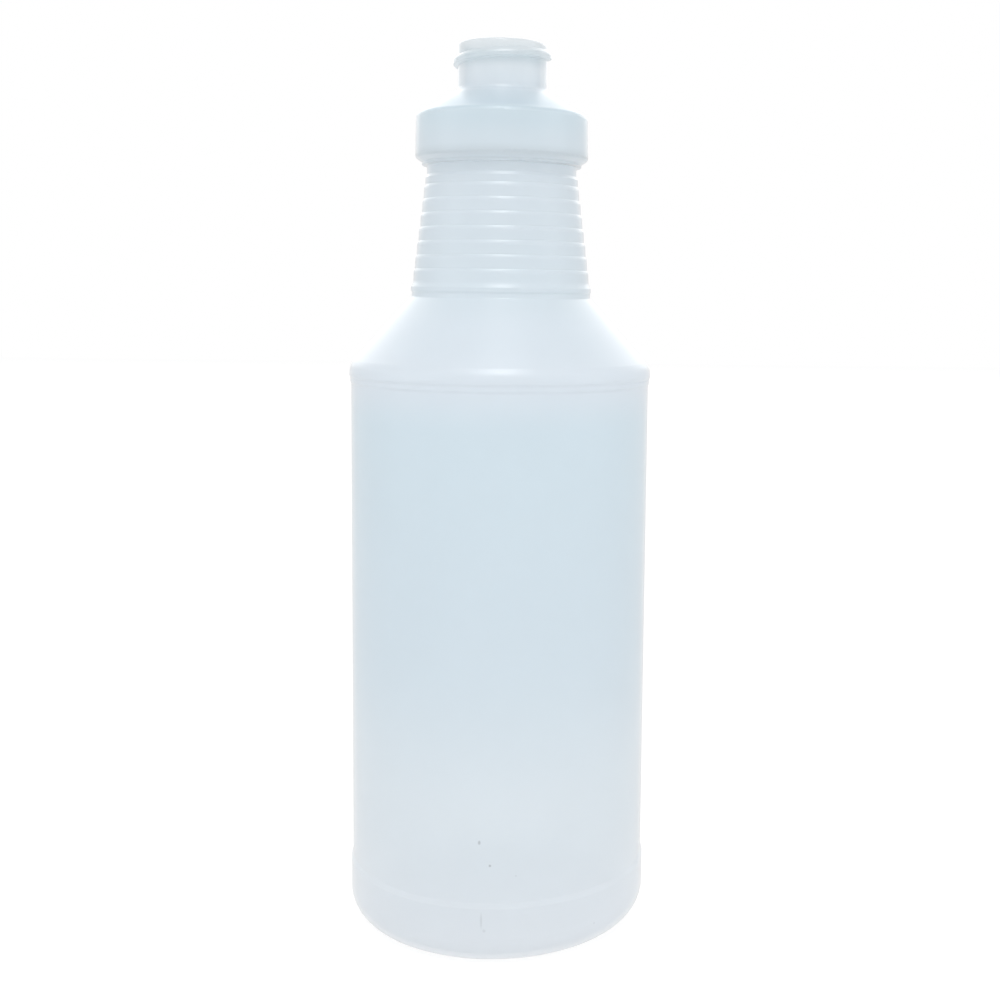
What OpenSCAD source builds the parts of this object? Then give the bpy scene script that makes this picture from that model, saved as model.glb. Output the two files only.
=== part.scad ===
/* [Body] */
// Diameter over the two bumper rings
body_d = 86.2; // [80:0.2:92]
// Depth by which the label panel lies inside the bumpers
panel_recess = 0.5; // [0.3:0.1:1.2]
// Height of the foot ring below the label panel
foot_h = 18.8; // [14:0.1:30]
// Height of the label panel
panel_h = 137.6; // [90:0.1:180]
// Height of the upper bumper ring, up to where the shoulder leaves it
crest_h = 5.1; // [4:0.1:12]
// Height over which the foot ring slopes in to the label panel
foot_slope_h = 1.6; // [1:0.1:3]
// Height of each of the two fine steps over the label panel
fine_step_h = 0.6; // [0.5:0.05:0.9]
// Height of the narrow ledge between those two steps
ledge_h = 1.2; // [0.8:0.1:2]
// Radius between the body and the shoulder
crest_r = 5; // [3:0.5:7]
// Radius between the body and the base
heel_r = 8.5; // [5:0.5:11]

/* [Base] */
// Rise of the pushed-up base at its centre
base_rise = 3.5; // [2:0.1:6]
// Width of the flat ring that the bottle stands on
stand_w = 3.4; // [2:0.1:6]

/* [Shoulder and grip] */
// Height of the shoulder cone
shoulder_h = 19.5; // [16:0.1:40]
// Height of the ribbed grip
grip_h = 31.4; // [28:0.1:45]
// Diameter at the bottom of the grip, in the creases between its ribs
grip_low_d = 51.2; // [49:0.1:56]
// Diameter at the top of the grip, in the creases between its ribs
grip_top_d = 43.3; // [41:0.1:45]
// Number of finger ribs
rib_count = 7; // [4:1:8]
// Height of the lowest rib's upper crease above the foot of the grip
rib_from = 7.9; // [7:0.1:10]
// Amount by which each rib stands out below its crease
rib_h = 0.34; // [0.2:0.01:0.45]
// Slope of a rib's upper side, in degrees from upright
rib_slope = 28; // [24:1:40]
// Radius between a rib's upper side and its face
rib_r = 3; // [0.4:0.1:4]
// Height of the stout lowest ring's upper edge above the foot of the grip
bead_z = 2.8; // [2.5:0.1:3.2]
// Height of that ring's outer face
bead_w = 1; // [0.8:0.1:1.2]
// Amount by which that ring stands out from the grip
bead_h = 0.5; // [0.3:0.01:0.8]
// Height over which that ring flares in to the grip above it
flare_h = 1.4; // [1:0.1:2]

/* [Collar] */
// Height of the plain band between the ribs and the groove
band_h = 2; // [1.5:0.1:5]
// Depth of the groove under the collar
groove_depth = 0.45; // [0.3:0.05:0.6]
// Height of the groove under the collar
groove_h = 3.5; // [2.5:0.1:5]
// Amount by which the small step under the collar stands out from the grip's top
step_out = 0.95; // [0.7:0.05:1.6]
// Height of the small step under the collar
step_ring_h = 0.9; // [0.8:0.1:3]
// Height of the collar's sloped underside
under_h = 1.3; // [1:0.1:3]
// Amount by which the collar's lower corner stands out from the grip's top
collar_out = 2.85; // [2.4:0.05:5]
// Amount by which the collar's diameter shrinks towards its top
collar_draft = 0.5; // [0:0.1:1]
// Height of the collar's wall
collar_h = 11.9; // [9:0.1:20]
// Slope of the collar's top, measured from level
cap_slope = 30; // [24:1:38]

/* [Neck finish] */
// Diameter of the neck at the root of its thread
neck_d = 25; // [24:0.1:26]
// Height of the neck above the collar's top
neck_h = 13.2; // [12.6:0.1:16]
// Diameter of the mouth
mouth_d = 21.2; // [19:0.1:22]
// Outer edge radius of the rim
rim_r = 0.8; // [0.4:0.1:1]

/* [Thread] */
// Diameter over the thread
thread_d = 27.7; // [27:0.05:28.4]
// Rise of the thread in one turn
thread_pitch = 4.233; // [3.8:0.001:4.6]
// Width of the thread at its root
thread_w = 2.9; // [2.4:0.1:3.1]
// Part of a turn that the thread runs, in degrees
thread_turn = 345; // [250:5:350]
// Direction of the thread's upper end, in degrees to the right of the front
thread_from = 115; // [0:5:180]
// Distance from the rim down to the thread at its upper end
thread_start = 1.15; // [1:0.05:1.6]
// Steepness of the thread's underside, in degrees from level
thread_under = 12; // [5:1:20]
// Steepness of the thread's upper side, in degrees from level
thread_over = 40; // [30:1:48]

/* [Wall] */
// Thickness of the blown wall
wall = 0.9; // [0.7:0.05:1.2]
// Thickness of the base
base_wall = 1.3; // [1:0.1:2.5]

/* [Hidden] */

body_r = body_d / 2;
panel_r = body_r - panel_recess;
ledge_r = body_r - panel_recess / 2;
grip_low_r = grip_low_d / 2;
grip_top_r = grip_top_d / 2;
groove_r = grip_top_r - groove_depth;
step_r = grip_top_r + step_out;
collar_low_r = grip_top_r + collar_out;
collar_top_r = collar_low_r - collar_draft / 2;
neck_r = neck_d / 2;
mouth_r = mouth_d / 2;

panel_z = foot_h;
crest_z = panel_z + panel_h;
ledge_z = crest_z + fine_step_h;
bumper_z = ledge_z + ledge_h + fine_step_h;
shoulder_z = crest_z + crest_h;
grip_z = shoulder_z + shoulder_h;
band_z = grip_z + grip_h;
groove_z = band_z + band_h;
step_z = groove_z + groove_h;
under_z = step_z + step_ring_h;
collar_z = under_z + under_h;
collar_top_z = collar_z + collar_h;
neck_z = collar_top_z + (collar_top_r - neck_r) * tan(cap_slope);
rim_z = neck_z + neck_h;

grip_taper = atan((grip_low_r - grip_top_r) / grip_h);
stand_in_r = body_r - heel_r - stand_w;
dome_r = (stand_in_r * stand_in_r + base_rise * base_rise) / (2 * base_rise);

// Amount by which an arc laps the lines it joins, so that they meet in one clean edge
blend = 0.003;

// Radius of the grip, in the creases between its ribs, at a height above its foot
function grip_r(h) = grip_low_r - h * tan(grip_taper);
function grip_spot(h, out, r) = [grip_r(h) + out, grip_z + h, r];

// Ribs are numbered from 0 at the bottom; each has a crease over it and a knee under the crease
rib_pitch = (grip_h - rib_from) / (rib_count - 1);
rib_drop = rib_h / tan(rib_slope);
rib_side = rib_h / sin(rib_slope);
crease_r = 0.25;
knee_r = min(rib_r, 0.8 * rib_side / tan(rib_slope / 2));
function crease_h(k) = rib_from + k * rib_pitch;
function crease(k) = grip_spot(crease_h(k), 0, crease_r);
function knee(k) = [grip_r(crease_h(k)) + rib_h, grip_z + crease_h(k) - rib_drop, knee_r];
bead_top = grip_spot(bead_z, bead_h, 0.8);
bead_low = [bead_top[0], bead_top[1] - bead_w, 0.6];
bead_foot = grip_spot(bead_z - bead_w - 0.6, 0, 0.3);
bead_flare = grip_spot(bead_z + flare_h, 0, 3);

// Point where the line through a and b meets the line through c and d
function meet(a, b, c, d) =
  let(u = b - a, v = d - c, w = c - a)
  let(t = (w[0] * v[1] - w[1] * v[0]) / (u[0] * v[1] - u[1] * v[0]))
  a + t * u;

// The outline's line from a to b, moved inwards by t
function inner(a, b, t) =
  let(u = (b - a) / norm(b - a))
  let(n = t * [-u[1], u[0]])
  [a + n, b + n];

// A corner is [radius, height, rounding]; an outline runs anticlockwise from the axis
function spot(c) = [c[0], c[1]];
function prev(o, i) = spot(o[(i + len(o) - 1) % len(o)]);
function next(o, i) = spot(o[(i + 1) % len(o)]);
function way(a, b) = (b - a) / norm(b - a);
function turn(o, i) =
  let(u = way(spot(o[i]), prev(o, i)), v = way(spot(o[i]), next(o, i)))
  v[0] * u[1] - v[1] * u[0];
function half(o, i) = acos(way(spot(o[i]), prev(o, i)) * way(spot(o[i]), next(o, i))) / 2;
function cut_back(o, i) = o[i][2] / tan(half(o, i));
function hub(o, i) =
  let(u = way(spot(o[i]), prev(o, i)), v = way(spot(o[i]), next(o, i)))
  spot(o[i]) + way([0, 0], u + v) * o[i][2] / sin(half(o, i));
function chords(o) = [
  for (i = [0 : len(o) - 1])
    for (side = o[i][2] > 0 ? [-1, 1] : [0])
      side == 0 ? spot(o[i]) :
      spot(o[i]) + cut_back(o, i) * way(spot(o[i]), side < 0 ? prev(o, i) : next(o, i))
];

// An outline with every corner rounded by a true arc, which laps its lines by the blend
module rounded(o) {
  difference() {
    union() {
      polygon(chords(o));
      for (i = [0 : len(o) - 1])
        if (o[i][2] > 0 && turn(o, i) > 0)
          translate(hub(o, i)) circle(r = o[i][2] + blend, $fn = 96);
    }
    for (i = [0 : len(o) - 1])
      if (o[i][2] > 0 && turn(o, i) < 0)
        translate(hub(o, i)) circle(r = o[i][2] + blend, $fn = 96);
  }
}

body_side = [
  [0, 0, 0],
  [body_r, 0, heel_r],
  [body_r, panel_z - foot_slope_h, 1],
  [panel_r, panel_z, 1],
  [panel_r, crest_z, 0.6],
  [ledge_r, ledge_z, 0.6],
  [ledge_r, ledge_z + ledge_h, 0.6],
  [body_r, bumper_z, 0.6],
  [body_r, shoulder_z, crest_r],
  [grip_low_r, grip_z, 0.8]
];
grip_side = [
  bead_foot,
  bead_low,
  bead_top,
  bead_flare,
  for (k = [0 : rib_count - 1])
    for (c = [knee(k), crease(k)]) c
];
neck_side = [
  [grip_top_r, groove_z, 0.5],
  [groove_r, groove_z + groove_depth / tan(rib_slope), 0.3],
  [groove_r, step_z, 0.4],
  [step_r, step_z, 0.3],
  [step_r, under_z, 0.3],
  [collar_low_r, collar_z, 1.2],
  [collar_top_r, collar_top_z, 1.4],
  [neck_r, neck_z, 1.6],
  [neck_r, rim_z, rim_r],
  [0, rim_z, 0]
];
outside = concat(body_side, grip_side, neck_side);

// The cavity follows the main forms at the wall's thickness, and not the ribs or the step
foot_in = inner([body_r, 0], [body_r, panel_z - foot_slope_h], wall);
low_step_in = inner([body_r, panel_z - foot_slope_h], [panel_r, panel_z], wall);
panel_in = inner([panel_r, panel_z], [panel_r, crest_z], wall);
high_step_in = inner([panel_r, crest_z], [body_r, bumper_z], wall);
crest_in = inner([body_r, bumper_z], [body_r, shoulder_z], wall);
shoulder_in = inner([body_r, shoulder_z], [grip_low_r, grip_z], wall);
grip_in = inner([grip_low_r, grip_z], [grip_top_r, band_z], wall);
throat_in = inner([groove_r, step_z], [collar_low_r, collar_z], wall);
collar_in = inner([collar_low_r, collar_z], [collar_top_r, collar_top_z], wall);
top_in = inner([collar_top_r, collar_top_z], [neck_r, neck_z], wall);
groove_in = inner([groove_r, groove_z], [groove_r, step_z], wall);
mouth_in = [[mouth_r, neck_z], [mouth_r, rim_z]];

function corner(a, b, r) = concat(meet(a[0], a[1], b[0], b[1]), [r]);

inside = [
  [0, base_wall, 0],
  [body_r - wall, base_wall, heel_r - wall],
  corner(foot_in, low_step_in, 1),
  corner(low_step_in, panel_in, 1),
  corner(panel_in, high_step_in, 1),
  corner(high_step_in, crest_in, 1),
  corner(crest_in, shoulder_in, crest_r - wall),
  corner(shoulder_in, grip_in, 2),
  corner(grip_in, groove_in, 2),
  corner(groove_in, throat_in, 1.5),
  corner(throat_in, collar_in, 1),
  corner(collar_in, top_in, 1),
  corner(top_in, mouth_in, 2),
  [mouth_r, rim_z + 1, 0],
  [0, rim_z + 1, 0]
];

module wall_section() {
  difference() {
    intersection() {
      rounded(outside);
      square([body_d, rim_z]);
    }
    translate([0, base_rise - dome_r]) circle(r = dome_r, $fn = 720);
    difference() {
      rounded(inside);
      translate([0, base_rise - dome_r]) circle(r = dome_r + base_wall, $fn = 720);
    }
  }
}

// The thread is one swept ridge, sunk into the neck, that fades out at both ends
thread_steps = 72;
thread_fade = 26;
thread_h = (thread_d - neck_d) / 2;
thread_sunk = 0.2 * (neck_r - mouth_r);
crest_low = thread_h * tan(thread_under);
crest_high = thread_w - thread_h * tan(thread_over);
thread_form = [
  [-thread_sunk, -thread_sunk * tan(thread_under)],
  [0.8 * thread_h, 0.8 * crest_low],
  [thread_h, crest_low + 0.25],
  [thread_h, crest_high - 0.3],
  [0.8 * thread_h, thread_w - 0.8 * thread_h * tan(thread_over)],
  [-thread_sunk, thread_w + thread_sunk * tan(thread_over)]
];
// Angle to the right of the front, rising with the thread to its upper end
function thread_a(k) = thread_from - (1 - k / thread_steps) * thread_turn;
function thread_z(a) = rim_z - thread_start - thread_w + thread_pitch * (a - thread_from) / 360;
function thread_s(a) = min(1, (thread_turn / 2 - abs(a - thread_from + thread_turn / 2)) / thread_fade);
// Height of the ridge over the neck, from fully sunk at an end to its full height
function thread_x(x, s) = x < 0 ? x : x * s - 0.5 * thread_sunk * (1 - s);
function thread_point(k, p) =
  let(a = thread_a(k), r = neck_r + thread_x(p[0], thread_s(a)))
  [r * sin(a), -r * cos(a), thread_z(a) + p[1]];

module thread() {
  m = len(thread_form);
  points = [
    for (k = [0 : thread_steps])
      for (p = thread_form) thread_point(k, p)
  ];
  sides = [
    for (k = [0 : thread_steps - 1])
      for (j = [0 : m - 1])
        for (half_face = [0, 1])
          let(a = k * m + j, b = k * m + (j + 1) % m)
          half_face == 0 ? [a, b, b + m] : [a, b + m, a + m]
  ];
  ends = [
    [for (j = [0 : m - 1]) m - 1 - j],
    [for (j = [0 : m - 1]) thread_steps * m + j]
  ];
  polyhedron(points = points, faces = concat(sides, ends), convexity = 10);
}

module bottle() {
  color([0.9, 0.93, 0.96])
  union() {
    rotate_extrude($fn = 180) wall_section();
    thread();
  }
}

bottle();
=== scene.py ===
"""Looks of the plastic bottle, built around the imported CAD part."""
import math

import bpy
from mathutils import Matrix, Vector

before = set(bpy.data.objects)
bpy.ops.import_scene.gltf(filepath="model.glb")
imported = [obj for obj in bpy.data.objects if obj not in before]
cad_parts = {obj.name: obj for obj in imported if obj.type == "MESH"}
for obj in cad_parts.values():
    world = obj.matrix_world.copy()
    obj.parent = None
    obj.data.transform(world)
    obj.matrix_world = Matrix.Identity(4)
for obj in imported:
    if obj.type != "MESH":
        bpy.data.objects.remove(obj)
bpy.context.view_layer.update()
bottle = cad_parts["bottle"]
scene = bpy.context.scene
scene.view_settings.view_transform = "Standard"


# --- node helpers

def new_material(name):
    mat = bpy.data.materials.new(name)
    mat.use_nodes = True
    mat.node_tree.nodes.clear()
    return mat, mat.node_tree


def add(tree, kind, **inputs):
    node = tree.nodes.new(kind)
    for key, value in inputs.items():
        node.inputs[key.replace("_", " ")].default_value = value
    return node


def math_node(tree, operation, a, b=None):
    node = tree.nodes.new("ShaderNodeMath")
    node.operation = operation
    for i, value in enumerate((a, b)):
        if value is None:
            continue
        if isinstance(value, (int, float)):
            node.inputs[i].default_value = value
        else:
            tree.links.new(value, node.inputs[i])
    return node.outputs[0]


# --- the bottle's plastic

# Share of the light that passes the wall unscattered, and share that it passes on scattered
SEE_THROUGH = 0.2
LET_THROUGH = 0.5

# Height at which the tones end, in metres
TOP = 0.252
# Front radius of the label panel and of the foot below it, and the foot's height
PANEL_R = 0.0426
FOOT_R = 0.0431
FOOT_TOP = 0.0188

# Tones of the plastic as (height in metres, colour). The close stops stand for the shading in
# the photograph under the collar, on its sloping top and at the rim.
TONES_AND_SHADE = [
    (0.000, (0.920, 0.950, 0.985)),
    (0.040, (0.850, 0.910, 0.950)),
    (0.085, (0.760, 0.850, 0.910)),
    (0.145, (0.745, 0.850, 0.910)),
    (0.158, (0.830, 0.885, 0.940)),
    (0.172, (0.810, 0.875, 0.930)),
    (0.180, (0.780, 0.855, 0.905)),
    (0.2170, (0.775, 0.840, 0.890)),
    (0.2188, (0.725, 0.785, 0.830)),
    (0.2201, (0.650, 0.710, 0.750)),
    (0.2213, (0.725, 0.795, 0.840)),
    (0.2228, (0.770, 0.845, 0.895)),
    (0.2312, (0.755, 0.860, 0.915)),
    (0.2330, (0.600, 0.720, 0.800)),
    (0.2365, (0.640, 0.745, 0.815)),
    (0.2400, (0.755, 0.820, 0.875)),
    (0.2440, (0.785, 0.845, 0.890)),
    (0.2470, (0.640, 0.730, 0.780)),
    (0.2490, (0.660, 0.730, 0.770)),
    (0.2520, (0.750, 0.800, 0.830)),
]

# Specks on the lower front as (across, height, height over width, radius, strength)
MARKS = [
    (-0.0048, 0.0357, 1.6, 0.00042, 0.30),
    (-0.0019, 0.0293, 1.0, 0.00040, 0.34),
    (0.0051, 0.0263, 1.0, 0.00030, 0.10),
    (0.0270, 0.0085, 1.0, 0.00035, 0.10),
    (-0.0042, 0.0140, 7.0, 0.00034, 0.12),
    (-0.0034, 0.0112, 1.0, 0.00050, 0.10),
]


def height_ramp(tree, coord, stops):
    """A colour that changes slowly with height, from (height in metres, colour) stops."""
    split = tree.nodes.new("ShaderNodeSeparateXYZ")
    tree.links.new(coord.outputs["Object"], split.inputs[0])
    share = math_node(tree, "DIVIDE", split.outputs["Z"], TOP)
    ramp = tree.nodes.new("ShaderNodeValToRGB")
    ramp.color_ramp.interpolation = "EASE"
    elements = ramp.color_ramp.elements
    while len(elements) < len(stops):
        elements.new(0.5)
    for element, (height, colour) in zip(elements, stops):
        element.position = height / TOP
        element.color = (*colour, 1)
    tree.links.new(share, ramp.inputs["Fac"])
    return ramp.outputs["Color"]


def tinted(tree, colour, factor, low, high):
    """The colour, made lighter and darker by a noise between two factors."""
    span = add(tree, "ShaderNodeMapRange", To_Min=low, To_Max=high)
    span.inputs["From Min"].default_value = 0.3
    span.inputs["From Max"].default_value = 0.7
    tree.links.new(factor, span.inputs["Value"])
    scale = tree.nodes.new("ShaderNodeVectorMath")
    scale.operation = "SCALE"
    tree.links.new(colour, scale.inputs[0])
    tree.links.new(span.outputs[0], scale.inputs["Scale"])
    return scale.outputs[0]


def on_the_front(across, height):
    """The point of the bottle's front at this distance across and this height."""
    radius = PANEL_R if height > FOOT_TOP else FOOT_R
    return across, -math.sqrt(radius**2 - across**2), height


def marks(tree, coord):
    """How strongly each spot of the surface is marked by the specks, from 0 to 1."""
    total = None
    for across, height, slimness, radius, strength in MARKS:
        x, y, z = on_the_front(across, height)
        squash = tree.nodes.new("ShaderNodeVectorMath")
        squash.operation = "MULTIPLY"
        tree.links.new(coord.outputs["Object"], squash.inputs[0])
        squash.inputs[1].default_value = (1, 1, 1 / slimness)
        gap = tree.nodes.new("ShaderNodeVectorMath")
        gap.operation = "DISTANCE"
        tree.links.new(squash.outputs[0], gap.inputs[0])
        gap.inputs[1].default_value = (x, y, z / slimness)
        spot = add(tree, "ShaderNodeMapRange", To_Min=strength, To_Max=0.0)
        spot.interpolation_type = "SMOOTHSTEP"
        spot.inputs["From Min"].default_value = 0.4 * radius
        spot.inputs["From Max"].default_value = 1.2 * radius
        tree.links.new(gap.outputs["Value"], spot.inputs["Value"])
        mark = spot.outputs[0]
        total = mark if total is None else math_node(tree, "MAXIMUM", total, mark)
    return total


def mixed(tree, share, first, second):
    mix = tree.nodes.new("ShaderNodeMixShader")
    tree.links.new(share, mix.inputs["Fac"])
    tree.links.new(first, mix.inputs[1])
    tree.links.new(second, mix.inputs[2])
    return mix.outputs[0]


def frosted_polyethylene():
    """A thin wall: it scatters light back, lets scattered light through and is slightly clear."""
    mat, tree = new_material("frosted_polyethylene")
    link = tree.links.new
    out = tree.nodes.new("ShaderNodeOutputMaterial")
    bsdf = add(tree, "ShaderNodeBsdfPrincipled", IOR=1.5)
    coord = tree.nodes.new("ShaderNodeTexCoord")
    # Slow cloudiness of the blown wall over a tone that changes with height, with painted shade in
    # the close stops under the collar, on its sloping top and at the rim
    cloud = add(tree, "ShaderNodeTexNoise", Scale=38.0, Detail=3.0, Roughness=0.5)
    link(coord.outputs["Object"], cloud.inputs["Vector"])
    tone_and_shade = height_ramp(tree, coord, TONES_AND_SHADE)
    clean = tinted(tree, tone_and_shade, cloud.outputs["Fac"], 0.99, 1.01)
    specks = tree.nodes.new("ShaderNodeVectorMath")
    specks.operation = "SCALE"
    link(clean, specks.inputs[0])
    link(math_node(tree, "SUBTRACT", 1.0, marks(tree, coord)), specks.inputs["Scale"])
    colour = specks.outputs[0]
    link(colour, bsdf.inputs["Base Color"])
    # Fine mould texture
    grain = add(tree, "ShaderNodeTexNoise", Scale=2600.0, Detail=2.0, Roughness=0.55)
    link(coord.outputs["Object"], grain.inputs["Vector"])
    rough = add(tree, "ShaderNodeMapRange", To_Min=0.32, To_Max=0.40)
    link(cloud.outputs["Fac"], rough.inputs["Value"])
    link(rough.outputs[0], bsdf.inputs["Roughness"])
    bump = add(tree, "ShaderNodeBump", Strength=0.06, Distance=0.0001)
    link(grain.outputs["Fac"], bump.inputs["Height"])
    link(bump.outputs[0], bsdf.inputs["Normal"])
    # What the surface doesn't reflect as gloss may pass through the wall
    gloss = add(tree, "ShaderNodeFresnel", IOR=1.5)
    passed = math_node(tree, "SUBTRACT", 1.0, gloss.outputs[0])
    glow = tree.nodes.new("ShaderNodeBsdfTranslucent")
    link(colour, glow.inputs["Color"])
    clear = add(tree, "ShaderNodeBsdfTransparent", Color=(1, 1, 1, 1))
    let_through = math_node(tree, "MULTIPLY", passed, LET_THROUGH)
    see_through = math_node(tree, "MULTIPLY", passed, SEE_THROUGH)
    wall = mixed(tree, let_through, bsdf.outputs[0], glow.outputs[0])
    wall = mixed(tree, see_through, wall, clear.outputs[0])
    # The skin's own gloss over it, and the back faces left clear
    sheen = tree.nodes.new("ShaderNodeBsdfGlossy")
    link(rough.outputs[0], sheen.inputs["Roughness"])
    link(bump.outputs[0], sheen.inputs["Normal"])
    wall = mixed(tree, gloss.outputs[0], wall, sheen.outputs[0])
    side = tree.nodes.new("ShaderNodeNewGeometry")
    wall = mixed(tree, side.outputs["Backfacing"], wall, clear.outputs[0])
    link(wall, out.inputs["Surface"])
    return mat


bottle.data.materials.clear()
bottle.data.materials.append(frosted_polyethylene())


# --- floor, world and lamps

def seen_directly(tree):
    """1 for the rays that show the backdrop itself, in the picture, in gloss or through glass."""
    path = tree.nodes.new("ShaderNodeLightPath")
    both = math_node(tree, "MAXIMUM", path.outputs["Is Camera Ray"], path.outputs["Is Glossy Ray"])
    clear = math_node(tree, "MAXIMUM", both, path.outputs["Is Transmission Ray"])
    sharp = math_node(tree, "SUBTRACT", 1.0, path.outputs["Is Diffuse Ray"])
    return math_node(tree, "MULTIPLY", clear, sharp)


def floor_material():
    mat, tree = new_material("white_floor")
    out = tree.nodes.new("ShaderNodeOutputMaterial")
    paint = add(tree, "ShaderNodeBsdfDiffuse", Color=(0.85, 0.85, 0.85, 1))
    glow = add(tree, "ShaderNodeEmission", Color=(1, 1, 1, 1), Strength=1.10)
    share = math_node(tree, "MULTIPLY", seen_directly(tree), 0.8)
    tree.links.new(mixed(tree, share, paint.outputs[0], glow.outputs[0]), out.inputs["Surface"])
    return mat


bpy.ops.mesh.primitive_plane_add(size=6.0, location=(0, 0, 0))
floor = bpy.context.object
floor.name = "floor"
floor.data.materials.append(floor_material())

world = bpy.data.worlds.new("studio")
scene.world = world
world.use_nodes = True
tree = world.node_tree
tree.nodes.clear()
out = tree.nodes.new("ShaderNodeOutputWorld")
light = add(tree, "ShaderNodeBackground", Color=(1, 1, 1, 1), Strength=0.62)
white = add(tree, "ShaderNodeBackground", Color=(1, 1, 1, 1), Strength=1.0)
sky = mixed(tree, seen_directly(tree), light.outputs[0], white.outputs[0])
tree.links.new(sky, out.inputs["Surface"])


def lamp(name, place, aim, size, watts):
    data = bpy.data.lights.new(name, "AREA")
    data.shape = "RECTANGLE"
    data.size, data.size_y = size
    data.energy = watts
    ob = bpy.data.objects.new(name, data)
    scene.collection.objects.link(ob)
    ob.visible_camera = False
    ob.location = place
    ob.rotation_euler = (Vector(aim) - Vector(place)).to_track_quat("-Z", "Y").to_euler()
    return ob


lamp("key", (0.0, -1.38, 2.2), (0, 0, 0.18), (0.7, 1.2), 23.0)
lamp("back", (0.0, 1.9, 1.5), (0, 0, 0.18), (4.0, 2.2), 28.0)
lamp("left", (-1.75, -0.5, 0.7), (0, 0, 0.12), (0.9, 1.4), 2.5)
lamp("right", (1.75, -0.5, 0.7), (0, 0, 0.12), (0.9, 1.4), 2.5)

# --- camera, at the photograph's viewing angle
right = Vector((0.997764, -0.06537699, 0.01388725))
up = Vector((-0.00667583, 0.10925721, 0.99399109))
ahead = Vector((0.06650143, 0.99186124, -0.10857647))
eye = Vector((0.00188242, -0.40471837, 0.18435289))
camera_data = bpy.data.cameras.new("camera")
camera_data.sensor_width = 36.0
camera_data.lens = 50.315
camera_data.shift_x = -0.100
camera_data.shift_y = -0.060
camera_data.clip_start = 0.01
camera = bpy.data.objects.new("camera", camera_data)
scene.collection.objects.link(camera)
turn = Matrix((right, up, -ahead)).transposed()
camera.matrix_world = Matrix.Translation(eye) @ turn.to_4x4()
scene.camera = camera
